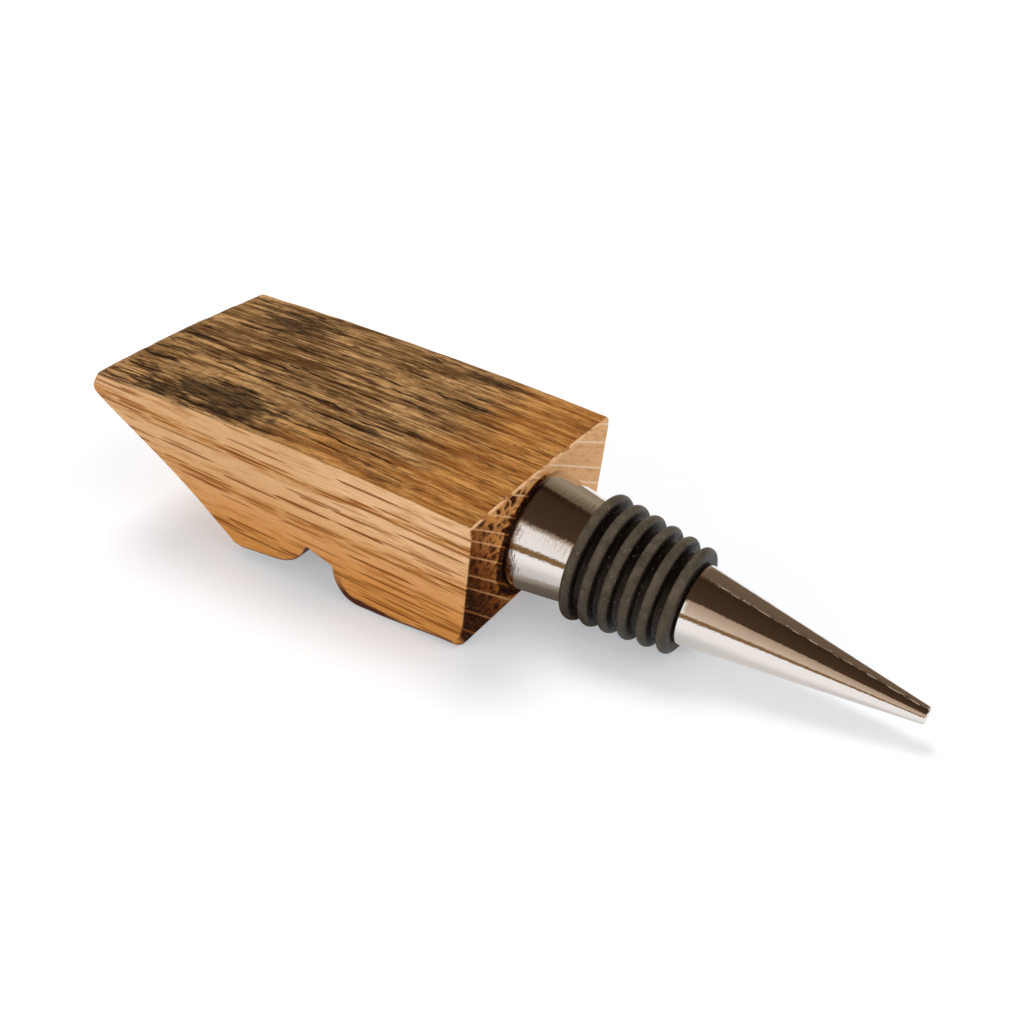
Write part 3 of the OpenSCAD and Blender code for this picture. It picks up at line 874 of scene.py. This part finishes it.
# Waves per millimetre round and along the plug, detail and roughness
CHROME_NOISES = {
    "turning": (0.05, 1 / TURNING_MARK, 3.0, 0.6),
    "haze": (0.9, 0.9, 4.0, 0.65),
    "grain": (2.6, 2.6, 3.0, 0.6),
    "sparks": (1.8, 0.55, 2.0, 0.6),
    "ripple": (0.5, 2.0, 3.0, 0.55),
}
chrome_noises = {}
for name, (across, along, detail, roughness) in CHROME_NOISES.items():
    stretched = add(chrome_tree, "ShaderNodeMapping", {
        "Vector": on_plug, "Scale": (across, across, along)}).outputs[0]
    chrome_noises[name] = add(chrome_tree, "ShaderNodeTexNoise", {
        "Vector": stretched, "Scale": 1.0, "Detail": detail, "Roughness": roughness,
    }).outputs["Fac"]
chrome_rough = add(chrome_tree, "ShaderNodeMapRange", {
    "Value": chrome_noises["haze"], "From Min": 0.35, "From Max": 0.7,
    "To Min": 0.025, "To Max": 0.08,
}).outputs[0]
# Distance from the plane of the parting line
from_seam = add(chrome_tree, "ShaderNodeVectorMath", {
    0: on_plug, 1: SEAM_NORMAL}, operation="DOT_PRODUCT").outputs["Value"]
from_seam = add(chrome_tree, "ShaderNodeMath", {0: from_seam}, operation="ABSOLUTE").outputs[0]
plug_split = add(chrome_tree, "ShaderNodeSeparateXYZ", {0: on_plug}).outputs
on_cone = add(chrome_tree, "ShaderNodeMapRange", {
    "Value": plug_split["Z"], "From Min": 28.5, "From Max": 31.0}).outputs[0]
# The joint line, from 0.4 to 1 mm off the wood, on the front side of the collar: painted
# shade of the gap, and some glue and dirt
front_side = add(chrome_tree, "ShaderNodeMapRange", {
    "Value": plug_split["Y"], "From Min": 5.0, "From Max": -3.0, "To Max": 0.96}).outputs[0]
joint_shade_and_glue = add(chrome_tree, "ShaderNodeMapRange", {
    "Value": plug_split["Z"], "From Min": 1.0, "From Max": 0.4, "To Max": front_side,
}, interpolation_type="SMOOTHSTEP").outputs[0]
chrome_colour = add(chrome_tree, "ShaderNodeMix", {
    0: joint_shade_and_glue, 6: linear("#e4dcd6"), 7: linear("#2a1a0e")}, data_type="RGBA").outputs[2]
seam = add(chrome_tree, "ShaderNodeMapRange", {
    "Value": from_seam, "From Min": 0.24, "From Max": 0.08, "To Max": on_cone}).outputs[0]
sparks = add(chrome_tree, "ShaderNodeMapRange", {
    "Value": chrome_noises["sparks"], "From Min": 0.42, "From Max": 0.6}).outputs[0]
seam = add(chrome_tree, "ShaderNodeMath", {0: seam, 1: sparks}, operation="MULTIPLY").outputs[0]
chrome_relief = add(chrome_tree, "ShaderNodeMath", {
    0: chrome_noises["turning"], 1: 0.6, 2: chrome_noises["grain"]}, operation="MULTIPLY_ADD").outputs[0]
ripple_weight = add(chrome_tree, "ShaderNodeMapRange", {
    "Value": on_cone, "To Min": 2.4, "To Max": 0.5}).outputs[0]
chrome_relief = add(chrome_tree, "ShaderNodeMath", {
    0: chrome_noises["ripple"], 1: ripple_weight, 2: chrome_relief,
}, operation="MULTIPLY_ADD").outputs[0]
chrome_bump = add(chrome_tree, "ShaderNodeBump", {
    "Height": chrome_relief, "Strength": 0.12, "Distance": 0.0001}).outputs[0]
chrome_bump = add(chrome_tree, "ShaderNodeBump", {
    "Height": seam, "Strength": 0.8, "Distance": 0.0002, "Normal": chrome_bump}).outputs[0]
chrome_shader = add(chrome_tree, "ShaderNodeBsdfPrincipled", {
    "Base Color": chrome_colour, "Metallic": 1.0, "Roughness": chrome_rough, "Normal": chrome_bump,
})
add(chrome_tree, "ShaderNodeOutputMaterial", {"Surface": chrome_shader.outputs[0]})
plug_piece = finish_piece(plug, "chrome_plug", chrome)
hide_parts("stopper_body")

# %% [markdown]
# ## The rubber sleeve
# One moulded sleeve is stretched over the seat. Six round-crowned ribs, smaller towards the
# cone, press against the glass. The half-section is drawn rib by rib and spun.

# %% Sleeve
RIBS = 6
RIB_PITCH, RIB_T, RIB_H = 3.16, 1.8, 2.0
FIRST_RIB_R, LAST_RIB_R = 10.7, 8.8
COLLAR_L, CONE_START = 10.2, 27.8

sleeve_corners = [(5.35, CONE_START, 0), (7.05, COLLAR_L, 0)]
for k in range(RIBS):
    crest = FIRST_RIB_R + (LAST_RIB_R - FIRST_RIB_R) * k / (RIBS - 1)
    valley, start = crest - RIB_H, COLLAR_L + k * RIB_PITCH
    if k > 0:
        sleeve_corners.append((valley + 0.1, start, 0.3))
    sleeve_corners += [(crest, start, 0.88), (crest, start + RIB_T, 0.88)]
    if k < RIBS - 1:
        sleeve_corners.append((valley - 0.05, start + RIB_T, 0.3))
sleeve = half_section(sleeve_corners, 8)
spin_round(sleeve)
sleeve.normal_update()
crown_light_mark = sleeve.verts.layers.float.new("crown_light")
for vert in sleeve.verts:
    radius = math.hypot(vert.co.x, vert.co.y)
    along = (vert.co.z - COLLAR_L) / (CONE_START - COLLAR_L)
    crest = FIRST_RIB_R + (LAST_RIB_R - FIRST_RIB_R) * along
    outward = vert.normal.x * vert.co.x / radius + vert.normal.y * vert.co.y / radius
    upward = (on_axis.to_3x3() @ vert.normal).z
    # Painted highlight on the crowns, strongest on top, and painted shade on the flanks and valleys
    crown_lit = smoothstep(crest - 1.2, crest - 0.3, radius) * smoothstep(-0.1, 0.8, outward)
    vert[crown_light_mark] = crown_lit * (0.45 + 0.55 * smoothstep(-0.6, 0.8, upward))
bmesh.ops.transform(sleeve, matrix=on_axis, verts=sleeve.verts)
print("sleeve:", len(sleeve.faces), "faces")

# %% [markdown]
# ### Moulded rubber
# Black rubber with a satin skin is really a warm dark grey. Its crowns are painted paler, most
# of all on top, as a painted highlight where the light falls, and its flanks and valleys are
# painted near black as painted shade. The mark that was stored on the points tells where that is.

# %% Moulded rubber
rubber, rubber_tree = new_material("moulded_rubber_satin")
rubber_where = add(rubber_tree, "ShaderNodeTexCoord").outputs["Object"]
rubber_mm = add(rubber_tree, "ShaderNodeMapping", {
    "Vector": rubber_where, "Scale": (1000, 1000, 1000)}).outputs[0]
# Waves per millimetre: cloudy bloom, and dust that is drawn coarser than real so that it shows
BLOOM_WAVES, DUST_WAVES = 0.42, 2.6
bloom = add(rubber_tree, "ShaderNodeTexNoise", {
    "Vector": rubber_mm, "Scale": BLOOM_WAVES, "Detail": 4.0, "Roughness": 0.6}).outputs["Fac"]
dust = add(rubber_tree, "ShaderNodeTexNoise", {
    "Vector": rubber_mm, "Scale": DUST_WAVES, "Detail": 1.0}).outputs["Fac"]
bloom_tint = add(rubber_tree, "ShaderNodeMapRange", {
    "Value": bloom, "From Min": 0.35, "From Max": 0.7, "To Min": 0.0, "To Max": 0.6}).outputs[0]
dust_tint = add(rubber_tree, "ShaderNodeMapRange", {
    "Value": dust, "From Min": 0.68, "From Max": 0.75, "To Min": 0.0, "To Max": 0.6,
}, interpolation_type="SMOOTHSTEP").outputs[0]
crown_light = add(rubber_tree, "ShaderNodeAttribute", attribute_name="crown_light").outputs["Fac"]
# Painted highlight on the crowns over painted shade in the valleys
lit_crown_colour = add(rubber_tree, "ShaderNodeMix", {
    0: bloom_tint, 6: linear("#423a30"), 7: linear("#716656")}, data_type="RGBA").outputs[2]
rubber_colour = add(rubber_tree, "ShaderNodeMix", {
    0: crown_light, 6: linear("#100d0a"), 7: lit_crown_colour}, data_type="RGBA").outputs[2]
rubber_colour = add(rubber_tree, "ShaderNodeMix", {
    0: dust_tint, 6: rubber_colour, 7: linear("#9a8f82")}, data_type="RGBA").outputs[2]
rubber_rough = add(rubber_tree, "ShaderNodeMapRange", {
    "Value": bloom, "From Min": 0.3, "From Max": 0.7, "To Min": 0.42, "To Max": 0.6}).outputs[0]
rubber_bump = add(rubber_tree, "ShaderNodeBump", {
    "Height": dust, "Strength": 0.15, "Distance": 0.0001}).outputs[0]
rubber_shader = add(rubber_tree, "ShaderNodeBsdfPrincipled", {
    "Base Color": rubber_colour, "Roughness": rubber_rough, "Specular IOR Level": 0.45,
    "Specular Tint": linear("#e3cdb4"), "Normal": rubber_bump,
})
add(rubber_tree, "ShaderNodeOutputMaterial", {"Surface": rubber_shader.outputs[0]})
sleeve_piece = finish_piece(sleeve, "ribbed_sleeve", rubber)
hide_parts("seal_sleeve")

# %% [markdown]
# ## The hidden stud
# A steel stud joins the plug and the wood. Nothing of it shows, so the solid stays as it is
# and only gets a finish: plain drawn steel with faint marks along it.

# %% Drawn steel
steel, steel_tree = new_material("drawn_steel")
steel_where = add(steel_tree, "ShaderNodeTexCoord").outputs["Object"]
# Waves per millimetre along and across the drawing marks
DRAWN_ALONG, DRAWN_ACROSS = 0.06, 2.5
steel_mm = add(steel_tree, "ShaderNodeMapping", {
    "Vector": steel_where, "Scale": (DRAWN_ALONG / MM, DRAWN_ACROSS / MM, DRAWN_ACROSS / MM),
}).outputs[0]
drawn = add(steel_tree, "ShaderNodeTexNoise", {
    "Vector": steel_mm, "Scale": 1.0, "Detail": 3.0}).outputs["Fac"]
steel_rough = add(steel_tree, "ShaderNodeMapRange", {
    "Value": drawn, "From Min": 0.3, "From Max": 0.7, "To Min": 0.25, "To Max": 0.45}).outputs[0]
steel_shader = add(steel_tree, "ShaderNodeBsdfPrincipled", {
    "Base Color": linear("#8b8d90"), "Metallic": 1.0, "Roughness": steel_rough})
add(steel_tree, "ShaderNodeOutputMaterial", {"Surface": steel_shader.outputs[0]})
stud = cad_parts["threaded_stud"]
stud.data.materials.clear()
stud.data.materials.append(steel)
print("stud finish:", steel.name)

# %% [markdown]
# ## Studio
# A white table under soft light, as for a catalogue picture. The camera, and what it sees
# in the metal, get a little glow from the table, which makes it white without adding any
# light to the object, and the table still takes the object's shadow.

# %% Table
TABLE_HALF = 3.0
TABLE_GLOW = 0.31

table_bm = bmesh.new()
bmesh.ops.create_grid(table_bm, x_segments=1, y_segments=1, size=TABLE_HALF)
table_mesh = bpy.data.meshes.new("table")
table_bm.to_mesh(table_mesh)
table_bm.free()
table = bpy.data.objects.new("table", table_mesh)
bpy.context.scene.collection.objects.link(table)

table_finish, table_tree = new_material("white_card_matt")
table_path = add(table_tree, "ShaderNodeLightPath").outputs
seen = add(table_tree, "ShaderNodeMath", {
    0: table_path["Is Camera Ray"], 1: table_path["Is Glossy Ray"]}, operation="MAXIMUM").outputs[0]
seen = add(table_tree, "ShaderNodeMath", {
    0: seen, 1: table_path["Is Transmission Ray"]}, operation="MAXIMUM").outputs[0]
glow = add(table_tree, "ShaderNodeMath", {0: seen, 1: TABLE_GLOW}, operation="MULTIPLY").outputs[0]
card = add(table_tree, "ShaderNodeBsdfDiffuse", {"Color": linear("#e4e5e6")}).outputs[0]
shine = add(table_tree, "ShaderNodeEmission", {
    "Color": linear("#f7fbff"), "Strength": glow}).outputs[0]
table_shader = add(table_tree, "ShaderNodeAddShader", {0: card, 1: shine}).outputs[0]
add(table_tree, "ShaderNodeOutputMaterial", {"Surface": table_shader})
table_mesh.materials.append(table_finish)
print("table:", 2 * TABLE_HALF, "m wide")

# %% [markdown]
# ## World and lamps
# The room is an even white. The camera and the metal see it as full white, and it lights the
# object more dimly. Three suns with wide, soft discs stand for the studio's lamps: one behind
# on the left throws the shadow, one in front lights the near side, and a fill on the right
# lights the sawn end. The fill throws no shadow, as a large reflector hardly does. Area lamps
# would do as well, but the light of a sun doesn't depend on its distance.

# %% World and lamps
WORLD_LIGHT = 0.32
world = bpy.data.worlds.new("studio")
world.use_nodes = True
world_tree = world.node_tree
world_tree.nodes.clear()
world_path = add(world_tree, "ShaderNodeLightPath").outputs
world_seen = add(world_tree, "ShaderNodeMath", {
    0: world_path["Is Camera Ray"], 1: world_path["Is Glossy Ray"]}, operation="MAXIMUM").outputs[0]
world_seen = add(world_tree, "ShaderNodeMath", {
    0: world_seen, 1: world_path["Is Transmission Ray"]}, operation="MAXIMUM").outputs[0]
soft = add(world_tree, "ShaderNodeBackground", {
    "Color": (1, 1, 1, 1), "Strength": WORLD_LIGHT}).outputs[0]
white = add(world_tree, "ShaderNodeBackground", {
    "Color": (1, 1, 1, 1), "Strength": 1.0}).outputs[0]
world_shader = add(world_tree, "ShaderNodeMixShader", {0: world_seen, 1: soft, 2: white}).outputs[0]
add(world_tree, "ShaderNodeOutputWorld", {"Surface": world_shader})
bpy.context.scene.world = world

# Direction to each soft lamp, its strength, its width in degrees and whether it throws a shadow
LAMPS = {
    "back_left": ((-0.38, 0.33, 0.86), 1.35, 30, True),
    "fill_right": ((0.82, 0.1, 0.56), 1.15, 60, False),
    "front": ((-0.45, -0.85, 0.22), 1.35, 50, True),
}
for name, (towards, strength, width, has_shadow) in LAMPS.items():
    lamp_data = bpy.data.lights.new(name, "SUN")
    lamp_data.energy = strength
    lamp_data.angle = math.radians(width)
    lamp_data.use_shadow = has_shadow
    lamp = bpy.data.objects.new(name, lamp_data)
    lamp.rotation_euler = Vector(towards).to_track_quat("Z", "Y").to_euler()
    lamp.visible_glossy = False
    bpy.context.scene.collection.objects.link(lamp)
print("lamps:", ", ".join(LAMPS))

# %% [markdown]
# ## What the chrome sees
# A mirror shows its room. In a white room chrome would look like white plastic, so dark and
# tan cards stand where the real room was dark. Only reflections can see them: they give no
# light and no shadow, and the camera doesn't see them.

# %% Cards for the reflections
# Angles of a card's two edges round the plug, from the front up over the top, their distances,
# the card's two ends along x and the colours of the two edges
CARDS = {
    "half_dark_card": (36, 44, 0.5, 0.5, -1.2, 0.04, "#d8cfc6", "#54402f"),
    "dark_card": (44, 108, 0.5, 0.5, -1.2, 1.2, "#4d3b2c", "#3d2d20"),
    "black_card": (108, 119, 0.5, 0.5, -1.2, 0.0, "#1a120c", "#20170f"),
    "cone_card": (108, 118, 0.5, 0.5, 0.0, 1.2, "#382719", "#4a3a2c"),
    "olive_card": (119, 150, 0.5, 0.5, -1.2, 0.0, "#6e5f4b", "#a3967f"),
    "back_card": (150, 218, 0.5, 0.5, -1.2, 0.0, "#a3967f", "#857a6b"),
    "brown_card": (118, 215, 0.5, 0.5, 0.0, 1.2, "#6b5948", "#7d6c5a"),
    "beige_card": (5, 44, 0.5, 0.5, 0.04, 1.2, "#dccbb8", "#b39d86"),
    "tan_card": (-8, 4, 0.07, 0.07, -1.2, 1.2, "#8a6c4a", "#8a6c4a"),
    # The shade cards lie on the table under the collar: a painted shadow of the plug, which only the
    # collar's reflection shows
    "half_shade_card": (-31, -47, 0.0228, 0.0153, 0.003, 0.022, "#dfd8d1", "#6f665c"),
    "shade_card": (-47, -90, 0.0153, 0.0112, 0.003, 0.022, "#6f665c", "#4e463f"),
    "shade_end_card": (-90, -125, 0.0112, 0.0137, 0.003, 0.022, "#4e463f", "#cfc8c1"),
}
# The plug's middle height, round which the cards stand
CARD_HEIGHT = 0.0115
for name, (first, last, near, far, start, end, first_colour, last_colour) in CARDS.items():
    card_bm = bmesh.new()
    fade = card_bm.verts.layers.float.new("fade")
    edge = [card_bm.verts.new((
        place,
        -distance * math.cos(math.radians(turn)),
        CARD_HEIGHT + distance * math.sin(math.radians(turn)),
    )) for place, turn, distance in (
        (start, first, near), (end, first, near), (end, last, far), (start, last, far))]
    card_bm.faces.new(edge)
    for vert in edge[2:]:
        vert[fade] = 1.0
    card_mesh = bpy.data.meshes.new(name)
    card_bm.to_mesh(card_mesh)
    card_bm.free()
    card_finish, card_tree = new_material(name)
    faded = add(card_tree, "ShaderNodeAttribute", attribute_name="fade").outputs["Fac"]
    shade = add(card_tree, "ShaderNodeMix", {
        0: faded, 6: linear(first_colour), 7: linear(last_colour)}, data_type="RGBA").outputs[2]
    glow_node = add(card_tree, "ShaderNodeEmission", {"Color": shade, "Strength": 1.0})
    add(card_tree, "ShaderNodeOutputMaterial", {"Surface": glow_node.outputs[0]})
    card_mesh.materials.append(card_finish)
    card_object = bpy.data.objects.new(name, card_mesh)
    card_object.visible_camera = False
    card_object.visible_diffuse = False
    card_object.visible_shadow = False
    bpy.context.scene.collection.objects.link(card_object)
print("cards:", ", ".join(CARDS))
